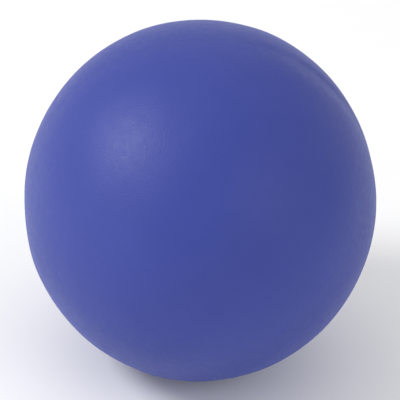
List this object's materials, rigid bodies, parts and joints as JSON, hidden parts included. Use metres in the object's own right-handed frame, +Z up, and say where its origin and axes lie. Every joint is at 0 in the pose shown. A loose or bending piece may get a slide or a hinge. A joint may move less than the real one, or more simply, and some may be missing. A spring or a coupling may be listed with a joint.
{
  "type": "stress ball",
  "caption": "Squeezable foam hand ball with a painted skin and a trimmed mould parting line; it rests on a small flat and springs back after a squeeze.",
  "frame": {"origin": "centre of the small flat on the underside, on which the ball rests", "axes": "+Z up; the mould's parting plane is y = 0, the front mould half faces -Y and the pour hole is at the +Y pole; X runs along the parting plane"},
  "size_m": [0.0634, 0.0635, 0.0633],
  "materials": {
    "cellular_foam": "matte open-cell polyurethane foam",
    "dense_foam": "matte dense polyurethane skin",
    "blue_paint": "soft matte elastic paint with a fine orange-peel grain",
    "crease_paint": "matte paint, thin and dark over trimmed flash",
    "touch_up_paint": "brushed matte paint"
  },
  "bodies": {
    "middle": {"foam_core": "cellular_foam", "foam_rind": "dense_foam", "parting_bead": "crease_paint"},
    "front_half": {"front_coat": "blue_paint"},
    "back_half": {"back_coat": "blue_paint", "gate_stub": "dense_foam", "touch_up_dab": "touch_up_paint", "vent_stub_upper": "dense_foam", "vent_stub_lower": "dense_foam"}
  },
  "joints": [
    {"name": "squeeze_back", "type": "slide", "parent": "middle", "child": "back_half", "axis": [0, -1, 0], "range_m": [0, 0.012], "stiffness_N_per_m": 3000, "deforming": ["back_coat"]},
    {"name": "squeeze_front", "type": "slide", "parent": "middle", "child": "front_half", "axis": [0, 1, 0], "range_m": [0, 0.012], "stiffness_N_per_m": 3000, "deforming": ["front_coat", "foam_rind", "foam_core"]}
  ],
  "couplings": [
    {"joint": "squeeze_front", "follows": "squeeze_back", "ratio": 1}
  ]
}
